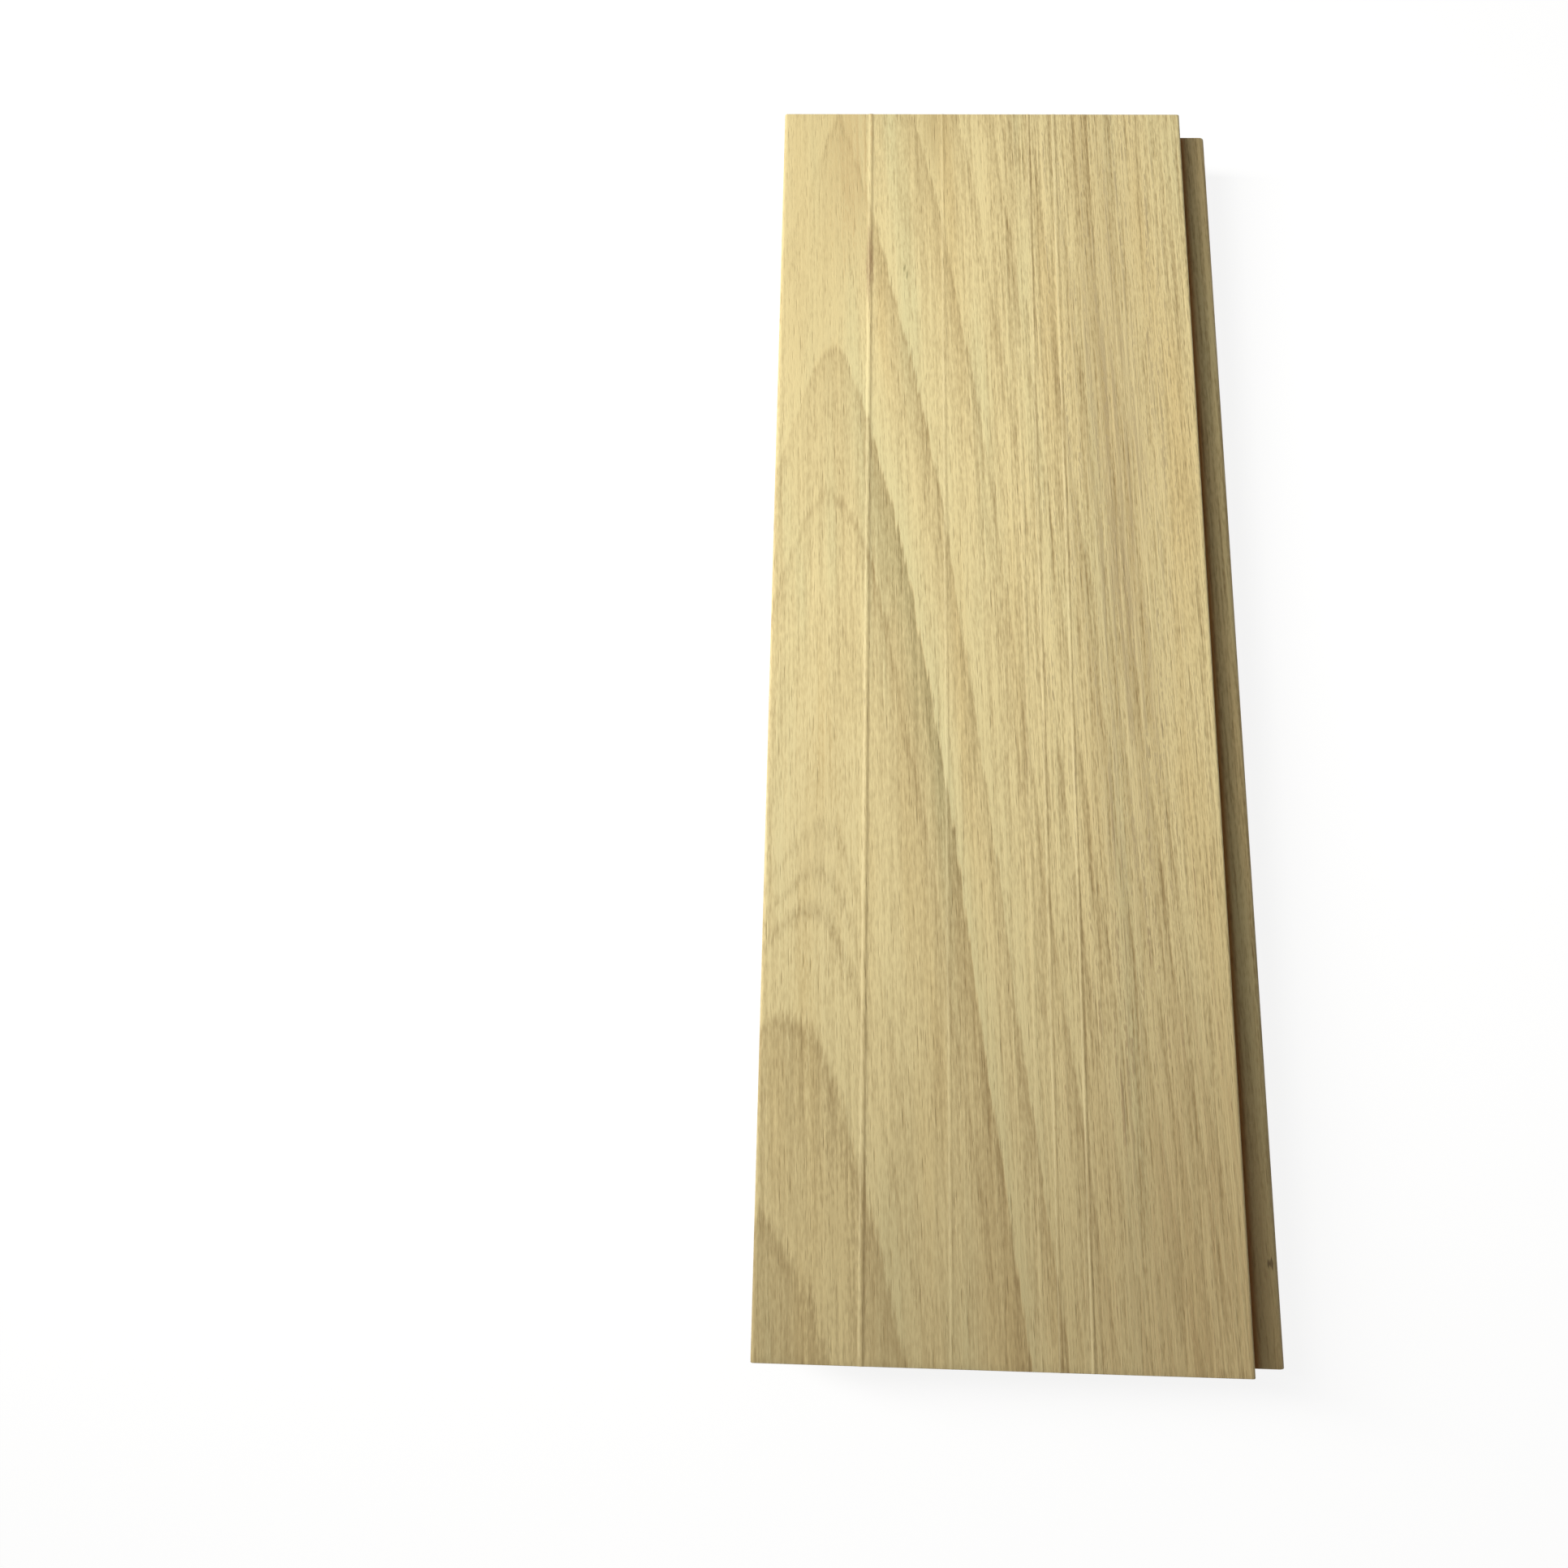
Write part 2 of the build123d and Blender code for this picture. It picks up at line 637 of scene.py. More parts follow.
@dataclass(frozen=True)
class Fibres:
    """Fine streaks along the grain. Each weight grows where the grain runs straight."""

    short: Noise = Noise((0.36, 1.7, 0.36), detail=1.0)
    short_weight: Trend = Trend(0.75, 0.3)
    combed: Noise = Noise((0.5, 200.0, 0.5), roughness=0.65)
    combed_weight: Trend = Trend(0.5, 0.75)
    long: Noise = Noise((0.6, 32.0, 0.6), roughness=0.6)
    long_weight: Trend = Trend(0.85, 1.1)
    straight: Step = Step(-20.0, 25.0)

    def at(self, spot: Spot, grain: Wire) -> Wire:
        """The streaks at a spot.

        Args:
            spot: The place in the wood.
            grain: The same place with its X following the fibres' lean.

        Returns:
            Their tone, about zero.
        """
        straight = self.straight.at(spot.x)
        short = self.short.at(grain) * self.short_weight.at(straight)
        combed = self.combed.at(spot.whole) * self.combed_weight.at(straight)
        return short + combed + self.long.at(grain) * self.long_weight.at(straight)


@dataclass(frozen=True)
class Pores:
    """Cut vessels, short thin dashes along the grain, thicker strewn in latewood."""

    small: Spindles = Spindles((0.5, 4.5, 0.5), reach=0.3)
    small_tone: float = 0.7
    large: Spindles = Spindles((0.7, 9.0, 0.7), reach=0.26)
    strewn: Trend = Trend(0.5, 0.5)

    def at(self, grain: Wire, tones: RingTones) -> Wire:
        """How far a place is inside a pore.

        Args:
            grain: The place in the wood, following the fibres' lean.
            tones: The rings' tones there.

        Returns:
            1 inside a pore and 0 beside it.
        """
        share = self.strewn.at(tones.latewood)
        small = self.small.at(grain, share) * self.small_tone
        return small.at_least(self.large.at(grain, share))


@dataclass(frozen=True)
class PlanedHardwood:
    """Bare wood straight from the moulder: pale earlywood, browner latewood, fine pores and fibres.

    Places and sizes are in millimetres. The wood is browner towards the near end, and the tongue is
    darkened by painted shade, most at its root under the shoulder.
    """

    rings: GrowthRings
    marks: tuple[KnifeMark, ...]
    stains: tuple[Stain, ...]
    half_length: float
    shoulder: float
    fibres: Fibres = Fibres()
    pores: Pores = Pores()
    fibre_lean: float = 0.035
    earlywood: Colour = paint(239, 219, 161)
    honey: Colour = paint(232, 208, 148)
    straw: Colour = paint(230, 217, 162)
    hue: Noise = Noise((9.0, 110.0, 9.0))
    hue_turn: float = 0.25
    latewood: Colour = paint(170, 146, 98)
    olive: Colour = paint(163, 149, 102)
    year_lines: Noise = Noise((1.6, 66.7, 10.0), weight=0.3)
    darkness: float = 0.14
    bleach: float = 0.17
    bleach_tint: float = 0.7
    russet: Colour = paint(168, 142, 99)
    russet_share: float = 0.34
    russet_zone: Step = Step(-0.2, -1.05)
    russet_slant: float = 0.8
    russet_slant_until: float = 20.0
    pore: Colour = paint(150, 122, 74)
    pore_share: float = 0.3
    stained_fibres: Noise = Noise((0.9, 40.0, 0.9), detail=3.0)
    stained_from: Step = Step(-0.1, 0.12)
    # Painted shade and painted highlight for the knife marks' flanks.
    flank_shade: Colour = paint(150, 118, 70)
    painted_highlight: Colour = paint(244, 228, 176)
    # Painted shade for the tongue, which lies in the shoulder's shadow; darkest at its root.
    tongue_shade: Colour = paint(160, 118, 66)
    tongue_shade_share: Trend = Trend(0.3, 0.68)
    tongue_shade_root: Step = Step(4.0, 2.6)
    tongue_shade_rim: Step = Step(0.0, 0.2)
    end_grain: Colour = paint(168, 140, 92)
    end_share: float = 0.6
    end_rim: Step = Step(-0.12, -0.02)
    roughness: float = 0.55
    fibre_roughness: float = 0.2
    pore_roughness: float = 0.2
    specular: float = 0.22
    bump_strength: float = 0.7
    bump_depth: float = 0.08
    pore_depth: float = 0.6

    def material(self) -> bpy.types.Material:
        """Writes the wood's nodes.

        Returns:
            The material.
        """
        made = bpy.data.materials.new("planed_hardwood")
        made.use_nodes = True
        sheet = NodeSheet(made.node_tree)
        shader = made.node_tree.nodes["Principled BSDF"]
        spot = sheet.spot(Wire(sheet, sheet.node("ShaderNodeTexCoord").outputs["Object"]))
        grain = sheet.gather(spot.x + spot.y * self.fibre_lean, spot.y, spot.z)
        tones = self.rings.tones(spot)
        fibres = self.fibres.at(spot, grain)
        pores = self.pores.at(grain, tones)
        colour = self._wood(spot, grain, tones, fibres, pores)
        colour = self._marked(spot, grain, fibres, colour)
        rough = self.roughness + fibres * self.fibre_roughness + pores * self.pore_roughness
        sheet.set(shader, {"Base Color": self._painted_shade_and_end_grain(spot, colour), "Roughness": rough})
        sheet.set(shader, {"Normal": self._bump(fibres, pores)})
        sheet.set(shader, {"Specular IOR Level": self.specular})
        return made

    def _wood(
        self, spot: Spot, grain: Wire, tones: RingTones, fibres: Wire, pores: Wire
    ) -> Wire:
        """The wood's own colour: ground, rings, fibres and pores.

        Args:
            spot: The place in the wood.
            grain: The same place, following the fibres' lean.
            tones: The rings' tones there.
            fibres: The fibre streaks.
            pores: The cut vessels.

        Returns:
            The colour.
        """
        sheet = spot.sheet
        hue = self.hue.at(grain)
        ground = sheet.blend(Step(0.0, self.hue_turn).at(hue), self.earlywood, self.honey)
        ground = sheet.blend(Step(0.0, -self.hue_turn).at(hue), ground, self.straw)
        ground = sheet.blend(tones.pale * self.bleach_tint, ground, self.straw)
        late = sheet.blend(tones.olive, self.latewood, self.olive)
        lines = self.year_lines.at(sheet.gather(tones.place, spot.y, spot.z))
        dark = tones.latewood + lines + fibres + self.darkness - tones.pale * self.bleach
        wood = sheet.blend(dark.at_least(0.0).at_most(1.0), ground, late)
        slant = spot.x.at_most(self.russet_slant_until) * self.russet_slant
        browner = self.russet_zone.at((spot.y - slant) / self.half_length)
        wood = sheet.blend(browner * self.russet_share, wood, self.russet)
        return sheet.blend(pores * self.pore_share, wood, self.pore)

    def _marked(self, spot: Spot, grain: Wire, fibres: Wire, colour: Wire) -> Wire:
        """Lays the stains, and the painted shade and painted highlight on the knife marks' flanks,
        over the wood.

        Args:
            spot: The place in the wood.
            grain: The same place, following the fibres' lean.
            fibres: The fibre streaks.
            colour: The wood's own colour.

        Returns:
            The marked colour.
        """
        sheet = spot.sheet
        streak = self.stained_from.at(self.stained_fibres.at(grain))
        for stain in self.stains:
            colour = sheet.blend(stain.share(spot, fibres, streak), colour, stain.colour)
        for mark in self.marks:
            # Painted shade on each ridge's tongue flank, painted highlight on its groove flank.
            for side, share, flank_colour in (
                (Side.TONGUE, mark.flank_shade, self.flank_shade),
                (Side.GROOVE, mark.flank_highlight, self.painted_highlight),
            ):
                colour = sheet.blend(mark.flank(spot, side) * share, colour, flank_colour)
        return colour

    def _painted_shade_and_end_grain(self, spot: Spot, colour: Wire) -> Wire:
        """Darkens the tongue with painted shade, most at its root under the shoulder, and the sawn
        ends by their open grain.

        Args:
            spot: The place in the wood.
            colour: The colour so far.

        Returns:
            The final colour.
        """
        sheet = spot.sheet
        at_end = self.end_rim.at(abs(spot.y) - self.half_length)
        past_shoulder = spot.x - self.shoulder
        # Painted shade over the tongue, strongest near its root under the shoulder.
        painted_shade = self.tongue_shade_rim.at(past_shoulder) * (1.0 - at_end)
        painted_shade = painted_shade * self.tongue_shade_share.at(self.tongue_shade_root.at(past_shoulder))
        colour = sheet.blend(painted_shade, colour, self.tongue_shade, "MULTIPLY")
        return sheet.blend(at_end * self.end_share, colour, self.end_grain, "MULTIPLY")

    def _bump(self, fibres: Wire, pores: Wire) -> Wire:
        """Fibres combed by the knives, and the open pores.

        Args:
            fibres: The fibre streaks.
            pores: The cut vessels.

        Returns:
            The shading normal.
        """
        sheet = fibres.sheet
        bump = sheet.node("ShaderNodeBump")
        sheet.set(bump, {"Strength": self.bump_strength, "Distance": self.bump_depth * MM})
        sheet.set(bump, {"Height": pores * -self.pore_depth - fibres})
        return Wire(sheet, bump.outputs[0])


class Element(Enum):
    """What is selected on a mesh, by Blender's name for the mode."""

    POINTS = "VERT"
    EDGES = "EDGE"
    FACES = "FACE"


class Workbench:
    """Edit mode on one mesh, whose parts are selected by their places."""

    def __init__(self, piece: bpy.types.Object) -> None:
        """Takes the piece to work on."""
        self.piece = piece

    def __enter__(self) -> "Workbench":
        """Opens edit mode on the piece alone."""
        bpy.ops.object.select_all(action="DESELECT")
        self.piece.select_set(True)
        bpy.context.view_layer.objects.active = self.piece
        bpy.ops.object.mode_set(mode="EDIT")
        return self

    def __exit__(self, *details: object) -> None:
        """Closes edit mode."""
        bpy.ops.object.mode_set(mode="OBJECT")

    def pick(self, element: Element, wanted: Callable[[Sequence[Vector]], bool]) -> None:
        """Selects the points, edges or faces that pass a test, and nothing else.

        Args:
            element: What is selected.
            wanted: The test, on the places of an element's corners.
        """
        bpy.ops.mesh.select_mode(type=element.value)
        bpy.ops.mesh.select_all(action="DESELECT")
        mesh = bmesh.from_edit_mesh(self.piece.data)
        groups = {
            Element.POINTS: mesh.verts,
            Element.EDGES: mesh.edges,
            Element.FACES: mesh.faces,
        }
        for item in groups[element]:
            points = [item] if element is Element.POINTS else item.verts
            if wanted([point.co for point in points]):
                item.select_set(True)
        mesh.select_flush_mode()
        bmesh.update_edit_mesh(self.piece.data)

    def pick_all(self) -> None:
        """Selects the whole mesh."""
        bpy.ops.mesh.select_all(action="SELECT")

    def cut(self, across: Vector, at: float) -> None:
        """Cuts what is selected along a plane.

        Args:
            across: The plane's normal, along one axis.
            at: Where the plane crosses that axis.
        """
        bpy.ops.mesh.bisect(plane_co=across * at, plane_no=across, threshold=NEAR)


@dataclass(frozen=True)
class Corner:
    """Corners of the section that one cutter rounds or bevels. Sizes are in metres."""

    places: tuple[tuple[float, float], ...]
    size: float
    segments: int

    def is_at(self, point: Vector) -> bool:
        """Whether a point of the section is one of these corners."""
        return any(math.dist((point.x, point.z), place) < NEAR for place in self.places)


class Strip(NamedTuple):
    """One straight side of the section, and its place in the width of a flat map."""

    start: Vector
    end: Vector
    left: float
    share: float

    def along(self, point: Vector) -> float:
        """How far along the side a point of the section lies, from 0 to 1."""
        return min(max(intersect_point_line(point, self.start, self.end)[1], 0.0), 1.0)

    def gap(self, point: Vector) -> float:
        """How far from the side a point of the section lies."""
        return (self.start.lerp(self.end, self.along(point)) - point).length


@dataclass(frozen=True)
class UnrolledSkin:
    """The board's skin laid flat in a unit square, on which its colours can be kept as a picture.

    The sides of the section stand next to each other and run up along the grain, the face widest
    of all, and the two ends lie in a band above them. Shares are of the square. A polygon whose
    normal leans further along the grain than end_facing is one of an end's.
    """

    outline: tuple[Vector, ...]
    low: Vector
    high: Vector
    face_share: float = 0.56
    band_share: float = 0.07
    margin: float = 0.003
    end_facing: float = 0.7

    def lay(self, mesh: bpy.types.Mesh) -> None:
        """Writes the map.

        Args:
            mesh: The board's mesh, divided but not yet pressed.
        """
        layer = mesh.uv_layers.new(name=BAKE_MAP)
        strips = self._strips()
        nearest: dict[tuple[int, int], Strip] = {}
        for polygon in mesh.polygons:
            middle = Vector((polygon.center.x, 0.0, polygon.center.z))
            key = (round(middle.x / NEAR), round(middle.z / NEAR))
            on_end = abs(polygon.normal.y) > self.end_facing
            if not on_end and key not in nearest:
                nearest[key] = min(strips, key=lambda strip: strip.gap(middle))
            for number in polygon.loop_indices:
                point = mesh.vertices[mesh.loops[number].vertex_index].co
                layer.uv[number].vector = (
                    self._on_band(point) if on_end else self._on_strip(point, nearest[key])
                )

    def _strips(self) -> list[Strip]:
        """Sets the section's sides next to each other."""
        sides = list(pairwise((*self.outline, self.outline[0])))
        lengths = [(end - start).length for start, end in sides]
        face = lengths.index(max(lengths))
        scale = (1.0 - self.face_share) / (sum(lengths) - lengths[face])
        shares = [length * scale for length in lengths]
        shares[face] = self.face_share
        lefts = accumulate(shares, initial=0.0)
        return [Strip(*side, left, share) for side, left, share in zip(sides, lefts, shares)]

    def _on_strip(self, point: Vector, strip: Strip) -> tuple[float, float]:
        """Where a point of one of the long sides lies on the map.

        Args:
            point: The point.
            strip: Its side of the section.

        Returns:
            Its place in the square.
        """
        across = strip.left + strip.along(Vector((point.x, 0.0, point.z))) * strip.share
        up = (point.y - self.low.y) / (self.high.y - self.low.y)
        room = 1.0 - self.band_share - 3.0 * self.margin
        return self.margin + across * (1.0 - 2.0 * self.margin), self.margin + up * room

    def _on_band(self, point: Vector) -> tuple[float, float]:
        """Where a point of an end lies on the map, the near end's on the left.

        Args:
            point: The point.

        Returns:
            Its place in the square.
        """
        at_far_end = point.y > (self.low.y + self.high.y) / 2
        across = (point.x - self.low.x) / (self.high.x - self.low.x)
        across = 1.0 - across if at_far_end else across
        up = (point.z - self.low.z) / (self.high.z - self.low.z)
        left = 0.5 * at_far_end + self.margin
        below_top = self.margin + (1.0 - up) * self.band_share
        return left + across * (0.5 - 2.0 * self.margin), 1.0 - below_top


@dataclass
class Floorboard:
    """One moulded board: its tongue on +X, its groove on -X and channels below.

    Sizes are in metres and angles in degrees. The face is divided into columns about as wide as
    column, and the board's length into bays, and those into rows.
    """

    low: Vector
    high: Vector
    finish: PlanedHardwood
    relief: FaceRelief
    wear_layer: float = 7.0 * MM
    tongue_length: float = 8.0 * MM
    tongue_thickness: float = 5.6 * MM
    tongue_tip_radius: float = 1.2 * MM
    groove_clearance: float = 0.2 * MM
    groove_tip_room: float = 0.8 * MM
    groove_corner_radius: float = 0.6 * MM
    groove_lead_in: float = 0.5 * MM
    lower_lip_setback: float = 0.6 * MM
    face_ease: float = 0.5 * MM
    back_ease: float = 1.0 * MM
    end_ease: float = 0.2 * MM
    channel_count: int = 4
    channel_width: float = 7.0 * MM
    channel_depth: float = 3.0 * MM
    channel_pitch: float = 16.0 * MM
    channel_corner_radius: float = 1.0 * MM
    column: float = 0.36 * MM
    bays: int = 16
    rows_in_bay: int = 11
    flat_angle: float = 1.0
    smooth_angle: float = 32.0
    piece: bpy.types.Object = field(init=False)

    def __post_init__(self) -> None:
        """Works out the lines of the section."""
        self.length = self.high.y - self.low.y
        self.shoulder = self.high.x - self.tongue_length
        self.tongue_top = self.high.z - self.wear_layer
        self.tongue_bottom = self.tongue_top - self.tongue_thickness
        self.lower_lip = self.low.x + self.lower_lip_setback
        self.groove_back = self.low.x + self.tongue_length + self.groove_tip_room
        self.groove_top = self.tongue_top + self.groove_clearance / 2
        self.groove_bottom = self.tongue_bottom - self.groove_clearance / 2
        first = -self.channel_pitch * (self.channel_count - 1) / 2
        middles = [first + self.channel_pitch * number for number in range(self.channel_count)]
        half = self.channel_width / 2
        self.channels = [(middle - half, middle + half) for middle in middles]

    def build(self) -> bpy.types.Object:
        """Models and dresses the board.

        Returns:
            The finished piece, which stands for the CAD node.
        """
        self._add_section()
        with Workbench(self.piece) as bench:
            self._cut_section(bench)
            self._ease_section(bench)
            outline = self._outline()
            self._run_along_grain(bench)
            self._divide_face(bench)
        UnrolledSkin(outline, self.low, self.high).lay(self.piece.data)
        self.relief.press(self.piece)
        bpy.ops.object.shade_smooth_by_angle(angle=math.radians(self.smooth_angle))
        self.piece.data.materials.append(self.finish.material())
        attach(self.piece, BODY)
        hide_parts(NODE)
        return self.piece

    def _add_section(self) -> None:
        """Stands a plane of the face's width and the board's thickness at the near end."""
        bpy.ops.object.select_all(action="DESELECT")
        bpy.ops.mesh.primitive_plane_add(
            size=1.0,
            calc_uvs=False,
            location=((self.low.x + self.shoulder) / 2, self.low.y, (self.low.z + self.high.z) / 2),
            rotation=(math.radians(90.0), 0.0, 0.0),
        )
        self.piece = bpy.context.active_object
        self.piece.name = "moulded_board"
        self.piece.data.name = "moulded_board"
        self.piece.scale = (self.shoulder - self.low.x, self.high.z - self.low.z, 1.0)
        bpy.ops.object.transform_apply(location=True, rotation=True, scale=True)

    def _cut_section(self, bench: Workbench) -> None:
        """Cuts groove, lower lip and channels out of the plane, and draws out the tongue.

        Args:
            bench: Edit mode on the plane.
        """
        channel_sides = [side for sides in self.channels for side in sides]
        tongue_faces = (self.tongue_bottom, self.tongue_top)
        heights = (self.channel_depth, self.groove_bottom, *tongue_faces, self.groove_top)
        for at in (self.lower_lip, self.groove_back, *channel_sides):
            bench.pick_all()
            bench.cut(ACROSS, at)
        for at in heights:
            bench.pick_all()
            bench.cut(UP, at)
        bench.pick(Element.FACES, self._is_waste)
        bpy.ops.mesh.delete(type="FACE")
        bench.pick(Element.EDGES, self._is_tongue_root)
        draw_out = {"value": ACROSS * self.tongue_length}
        bpy.ops.mesh.extrude_edges_move(TRANSFORM_OT_translate=draw_out)
        bench.pick_all()
        bpy.ops.mesh.dissolve_limited(angle_limit=math.radians(self.flat_angle))

    def _is_waste(self, corners: Sequence[Vector]) -> bool:
        """Whether a cell of the cut plane is cleared by a cutter.

        Args:
            corners: The cell's corners.

        Returns:
            True in the groove, in front of the lower lip and in the channels.
        """
        middle = sum(corners, Vector()) / len(corners)
        in_groove = middle.x < self.groove_back and self.groove_bottom < middle.z < self.groove_top
        in_setback = middle.x < self.lower_lip and middle.z < self.groove_bottom
        in_channel = any(left < middle.x < right for left, right in self.channels)
        return in_groove or in_setback or (in_channel and middle.z < self.channel_depth)

    def _is_tongue_root(self, ends: Sequence[Vector]) -> bool:
        """Whether an edge is where the tongue leaves the shoulder."""
        lowest, highest = self.tongue_bottom - NEAR, self.tongue_top + NEAR
        on_shoulder = all(abs(end.x - self.shoulder) < NEAR for end in ends)
        return on_shoulder and all(lowest < end.z < highest for end in ends)

    def _corners(self) -> list[Corner]:
        """The section's corners, grouped by the cutter that shapes them."""
        tip = self.shoulder + self.tongue_length
        face = ((self.low.x, self.high.z), (self.shoulder, self.high.z))
        back = ((self.lower_lip, self.low.z), (self.shoulder, self.low.z))
        tips = ((tip, self.tongue_top), (tip, self.tongue_bottom))
        bottoms = ((self.groove_back, self.groove_top), (self.groove_back, self.groove_bottom))
        mouth = ((self.low.x, self.groove_top), (self.lower_lip, self.groove_bottom))
        channels = tuple((side, self.channel_depth) for sides in self.channels for side in sides)
        return [
            Corner(face, self.face_ease, segments=3),
            Corner(back, self.back_ease, segments=2),
            Corner(tips, self.tongue_tip_radius, segments=6),
            Corner(bottoms, self.groove_corner_radius, segments=4),
            Corner(mouth, self.groove_lead_in, segments=2),
            Corner(channels, self.channel_corner_radius, segments=4),
        ]

    def _ease_section(self, bench: Workbench) -> None:
        """Rounds and bevels the section's corners.

        Args:
            bench: Edit mode on the section.
        """
        for corner in self._corners():
            bench.pick(Element.POINTS, lambda points: corner.is_at(points[0]))
            bpy.ops.mesh.bevel(
                offset=corner.size, segments=corner.segments, profile=ROUND, affect="VERTICES"
            )

    def _outline(self) -> tuple[Vector, ...]:
        """The finished section's corners, in the order that runs along the face to the tongue."""
        section = bmesh.from_edit_mesh(self.piece.data)
        rims = [edge.link_loops[0] for edge in section.edges if edge.is_boundary]
        before = {rim.link_loop_next.vert: rim.vert for rim in rims}
        corner = rims[0].vert
        corners = []
        for _ in rims:
            corners.append(Vector((corner.co.x, 0.0, corner.co.z)))
            corner = before[corner]
        return tuple(corners)

    def _run_along_grain(self, bench: Workbench) -> None:
        """Draws the section out to the board's length and eases the arrises of both ends.

        Args:
            bench: Edit mode on the section.
        """
        bench.pick_all()
        draw_out = {"value": ALONG * self.length}
        bpy.ops.mesh.extrude_region_move(TRANSFORM_OT_translate=draw_out)
        bench.pick_all()
        bpy.ops.mesh.normals_make_consistent(inside=False)
        for end in (self.low.y, self.high.y):
            bench.pick(Element.EDGES, lambda ends: all(abs(point.y - end) < NEAR for point in ends))
            bpy.ops.mesh.bevel(offset=self.end_ease, segments=2, profile=ROUND, affect="EDGES")

    def _divide_face(self, bench: Workbench) -> None:
        """Divides the face into columns, closest at the knife marks, and the board into rows.

        Args:
            bench: Edit mode on the solid.
        """
        cuts = [line * MM for mark in self.relief.marks for line in mark.lines()]
        for at in cuts:
            bench.pick(Element.FACES, self._is_on_face)
            bench.cut(ACROSS, at)
        edges = [self.low.x + self.face_ease, *sorted(cuts), self.shoulder - self.face_ease]
        for left, right in pairwise(edges):
            count = round((right - left) / self.column) - 1
            if count > 0:
                bench.pick(
                    Element.EDGES,
                    lambda ends: self._is_on_face(ends) and self._spans(ends, left, right),
                )
                bpy.ops.mesh.subdivide(number_cuts=count)
        bay = self.length / self.bays
        for parts, stretch in ((self.bays, self.length), (self.rows_in_bay, bay)):
            bench.pick(Element.EDGES, lambda ends: abs(ends[0].y - ends[1].y) > stretch / 2)
            bpy.ops.mesh.subdivide(number_cuts=parts - 1)

    def _is_on_face(self, corners: Sequence[Vector]) -> bool:
        """Whether a cell or an edge lies on the face."""
        return all(corner.z > self.high.z - self.end_ease - NEAR for corner in corners)

    @staticmethod
    def _spans(ends: Sequence[Vector], left: float, right: float) -> bool:
        """Whether an edge runs across the board from one line to the other."""
        first, last = sorted(point.x for point in ends)
        return abs(first - left) < NEAR and abs(last - right) < NEAR


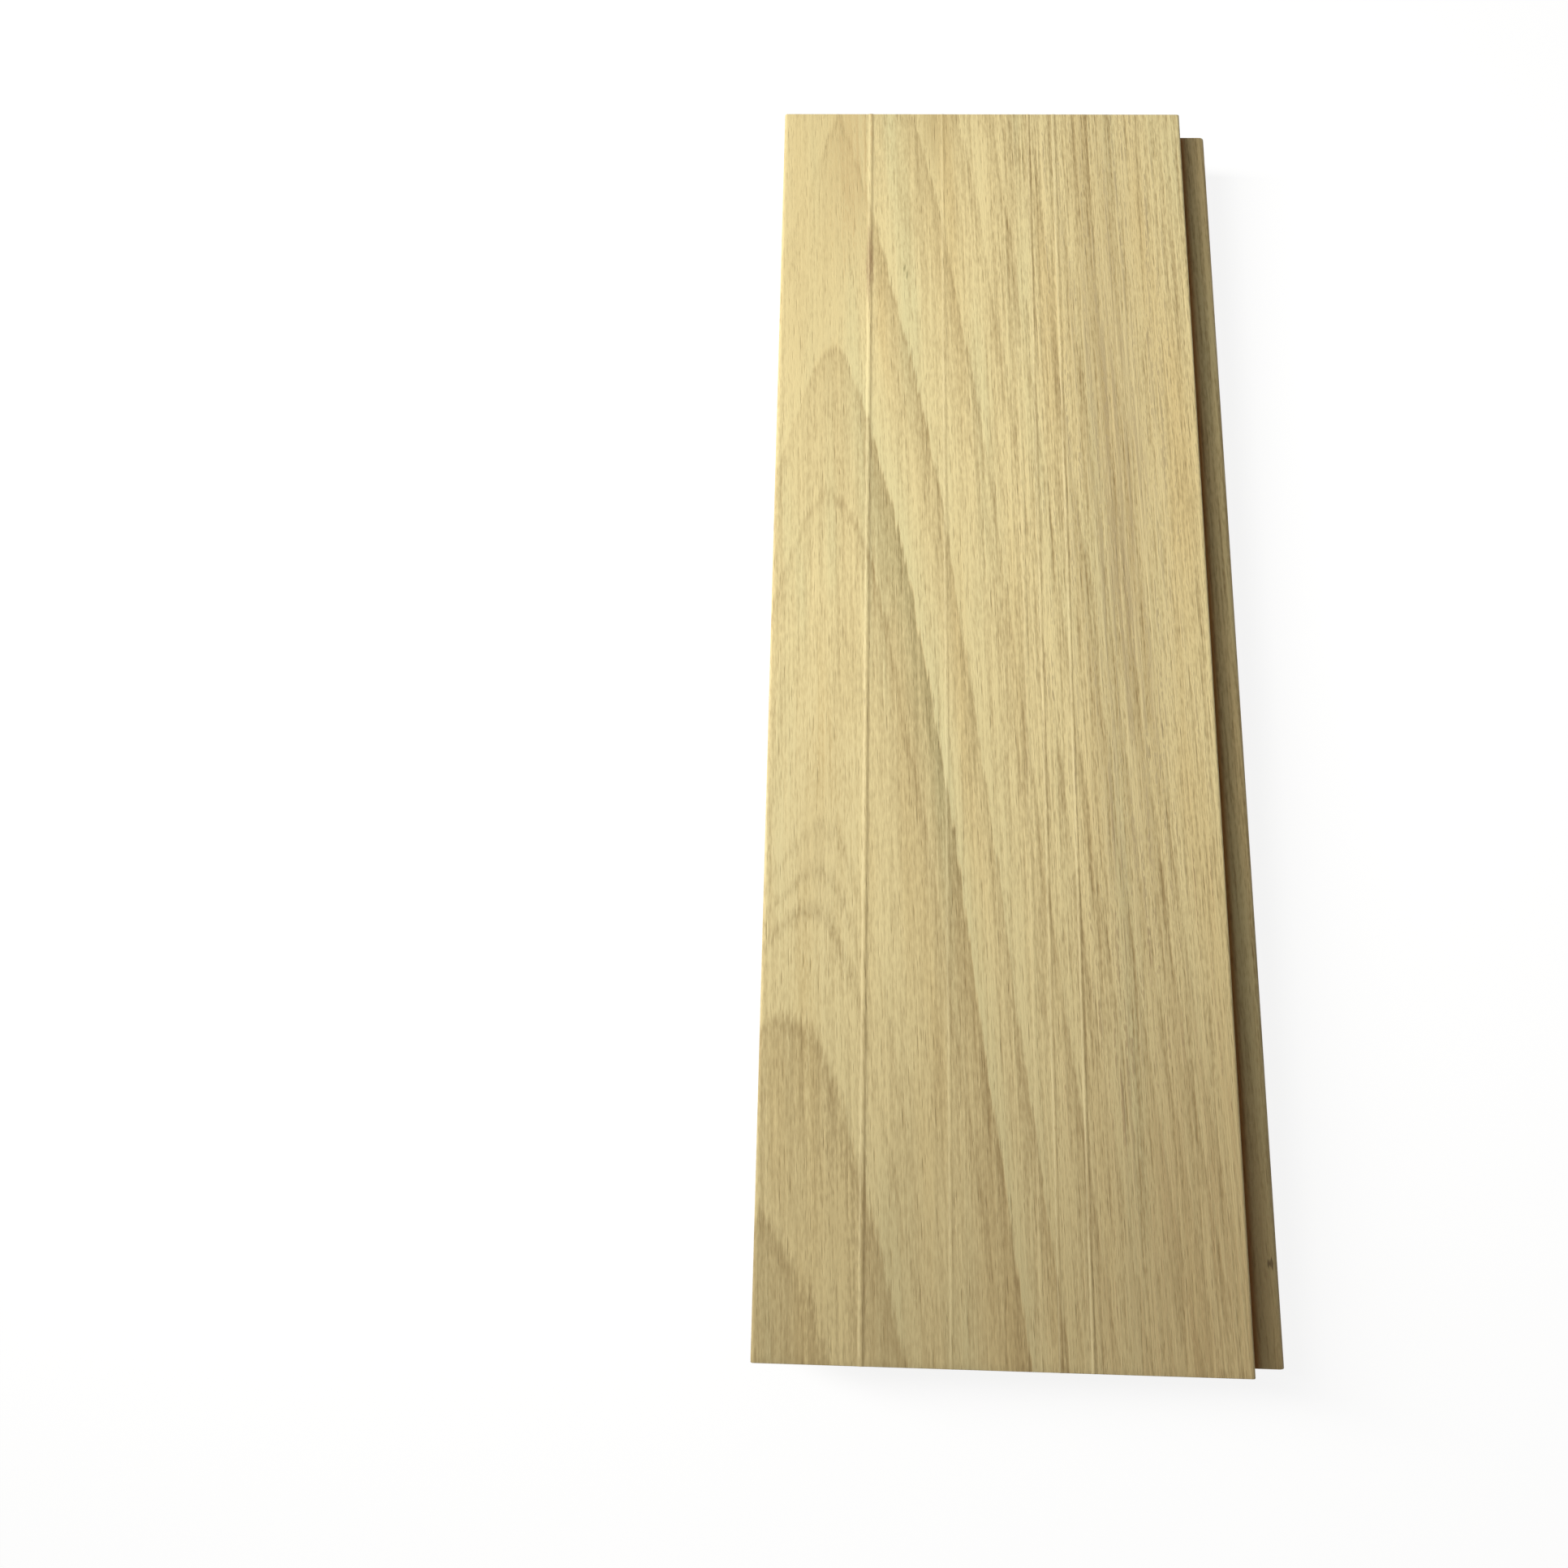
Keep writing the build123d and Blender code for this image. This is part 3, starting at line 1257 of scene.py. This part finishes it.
@dataclass
class Studio:
    """Pale floor, soft light from the left and a camera that looks down on the board.

    Places and sizes are in metres, angles in degrees, and lens and sensor in millimetres. The glow
    and sky_seen show to the camera and in gloss alone, and sky_light is what lights the board.
    """

    floor_size: float = 4.0
    floor_colour: Colour = paint(186, 185, 183)
    floor_roughness: float = 0.9
    floor_specular: float = 0.1
    glow_share: float = 0.6
    glow_strength: float = 1.45
    sky_colour: Colour = paint(255, 255, 255)
    sky_light: float = 0.18
    sky_seen: float = 0.91
    lamp_place: Vector = field(default_factory=lambda: Vector((-0.515, 0.10, 0.455)))
    lamp_aim: Vector = field(default_factory=lambda: Vector((-0.02, 0.07, 0.019)))
    lamp_size: tuple[float, float] = (0.12, 0.6)
    lamp_spread: float = 80.0
    lamp_power: float = 1.26
    camera_place: Vector = field(default_factory=lambda: Vector((-0.0351, -0.0748, 0.24)))
    camera_turn: tuple[float, float, float] = (12.54, 1.35, 1.37)
    lens: float = 26.0
    sensor: float = 36.0
    clip_start: float = 0.01

    def build(self) -> None:
        """Sets up the floor, the light and the camera."""
        self._lay_floor()
        self._light_sky()
        self._hang_lamp()
        self._set_camera()

    def _lay_floor(self) -> None:
        """Lays a large plane under the board, near white to the camera, with the board's shadow."""
        bpy.ops.object.select_all(action="DESELECT")
        bpy.ops.mesh.primitive_plane_add(size=self.floor_size)
        floor = bpy.context.active_object
        floor.name = "studio_floor"
        material = bpy.data.materials.new("studio_floor")
        material.use_nodes = True
        tree = material.node_tree
        sheet = NodeSheet(tree)
        shader = tree.nodes["Principled BSDF"]
        sheet.set(shader, {"Base Color": self.floor_colour, "Roughness": self.floor_roughness})
        sheet.set(shader, {"Specular IOR Level": self.floor_specular})
        glow = sheet.node("ShaderNodeEmission")
        sheet.set(glow, {"Strength": self.glow_strength})
        mix = sheet.node("ShaderNodeMixShader")
        sheet.feed(mix.inputs[0], self._seen_directly(sheet) * self.glow_share)
        tree.links.new(shader.outputs[0], mix.inputs[1])
        tree.links.new(glow.outputs[0], mix.inputs[2])
        tree.links.new(mix.outputs[0], tree.nodes["Material Output"].inputs["Surface"])
        floor.data.materials.append(material)

    @staticmethod
    def _seen_directly(sheet: NodeSheet) -> Wire:
        """1 where the camera sees a surface, straight or in a gloss, 0 where it lights others."""
        path = sheet.node("ShaderNodeLightPath")
        names = ("Is Camera Ray", "Is Glossy Ray", "Is Transmission Ray")
        camera, glossy, transmission = (Wire(sheet, path.outputs[name]) for name in names)
        return camera.at_least(glossy).at_least(transmission)

    def _light_sky(self) -> None:
        """Gives the room an even light, which the camera sees as white."""
        world = bpy.data.worlds.new("studio")
        world.use_nodes = True
        bpy.context.scene.world = world
        sheet = NodeSheet(world.node_tree)
        strength = Trend(self.sky_light, self.sky_seen - self.sky_light)
        shown = {"Color": self.sky_colour, "Strength": strength.at(self._seen_directly(sheet))}
        sheet.set(world.node_tree.nodes["Background"], shown)

    def _hang_lamp(self) -> None:
        """Hangs a tall soft lamp on the left."""
        bpy.ops.object.light_add(type="AREA", location=self.lamp_place)
        lamp = bpy.context.active_object
        lamp.name = "window_lamp"
        towards = self.lamp_aim - self.lamp_place
        lamp.rotation_euler = towards.to_track_quat("-Z", "Y").to_euler()
        lamp.data.shape = "ELLIPSE"
        lamp.data.size, lamp.data.size_y = self.lamp_size
        lamp.data.spread = math.radians(self.lamp_spread)
        lamp.data.energy = self.lamp_power

    def _set_camera(self) -> None:
        """Places the camera as it stood over the board."""
        turn = [math.radians(angle) for angle in self.camera_turn]
        bpy.ops.object.camera_add(location=self.camera_place, rotation=turn)
        camera = bpy.context.active_object
        camera.data.lens = self.lens
        camera.data.sensor_width = self.sensor
        camera.data.clip_start = self.clip_start
        bpy.context.scene.camera = camera


def knife_marks() -> tuple[KnifeMark, ...]:
    """The ridges on the face, from the groove to the tongue, with painted shade and painted
    highlight on their flanks.
    """
    return (
        KnifeMark(-25.2, 1.5, 0.14, flank_shade=0.3, flank_highlight=0.3),
        KnifeMark(-8.85, 1.1, 0.05, flank_shade=0.16, flank_highlight=0.3),
        KnifeMark(7.3, 1.0, 0.03, flank_highlight=0.15),
        KnifeMark(10.6, 1.0, 0.05, flank_shade=0.25, flank_highlight=0.35),
        KnifeMark(16.4, 1.1, 0.06, flank_shade=0.22, flank_highlight=0.4),
    )


def stains(far_end: float, face: float) -> tuple[Stain, ...]:
    """The stains of the wood and of its growth, all on the face but the last, on the tongue.

    Args:
        far_end: Y of the far end, in millimetres.
        face: Z of the face, in millimetres.

    Returns:
        The stains, in the order in which they are laid.
    """
    streaky = partial(Stain, fray=3.0, streaks=0.6)
    soft = partial(Stain, fray=2.0)
    resin = paint(122, 112, 70)
    return (
        Stain((-25.3, far_end - 38.0, face), (1.0, 11.0, 3.0), paint(150, 116, 82), 0.75),
        Stain((-17.5, far_end - 40.2, face), (0.35, 1.5, 1.5), resin, 0.6),
        Stain((-16.9, far_end - 42.0, face), (0.35, 1.6, 1.5), resin, 0.5),
        streaky((-30.0, far_end - 11.0, face), (5.5, 26.0, 6.0), paint(204, 174, 121), 0.65),
        streaky((-10.5, far_end, face), (4.0, 16.0, 6.0), paint(184, 160, 108), 0.5),
        streaky(
            (28.0, far_end - 98.0, face), (8.0, 74.0, 6.0), paint(162, 141, 105), 0.58, streaks=0.7
        ),
        streaky((38.0, far_end - 258.0, face), (15.0, 54.0, 6.0), paint(164, 128, 84), 0.3),
        soft((-35.0, far_end - 172.0, face), (10.0, 36.0, 6.0), paint(235, 218, 164), 0.35),
        soft((-30.5, far_end - 244.0, face), (5.5, 24.0, 6.0), paint(232, 210, 152), 0.5),
        soft((-37.0, far_end - 28.0, face), (11.0, 62.0, 6.0), paint(218, 197, 141), 0.4),
        Stain((51.3, far_end - 246.8, face - 7.0), (0.6, 1.0, 1.0), paint(90, 70, 44), 0.7),
    )


def main() -> None:
    """Builds the board and the studio around it."""
    logging.basicConfig(level=logging.INFO)
    bpy.context.scene.view_settings.view_transform = "Standard"
    low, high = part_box(NODE)
    far_end, face = high.y / MM, high.z / MM
    rings = GrowthRings(groove_edge=low.x / MM, far_end=far_end, face=face)
    marks = knife_marks()
    finish = PlanedHardwood(rings, marks, stains(far_end, face), far_end, shoulder=-low.x / MM)
    piece = Floorboard(low, high, finish, FaceRelief(rings, marks, face)).build()
    LOG.info("%s: %d faces, rides on %s", piece.name, len(piece.data.polygons), BODY)
    Studio().build()
    LOG.info("studio: floor, sky, lamp and camera")


if __name__ == "__main__":
    main()
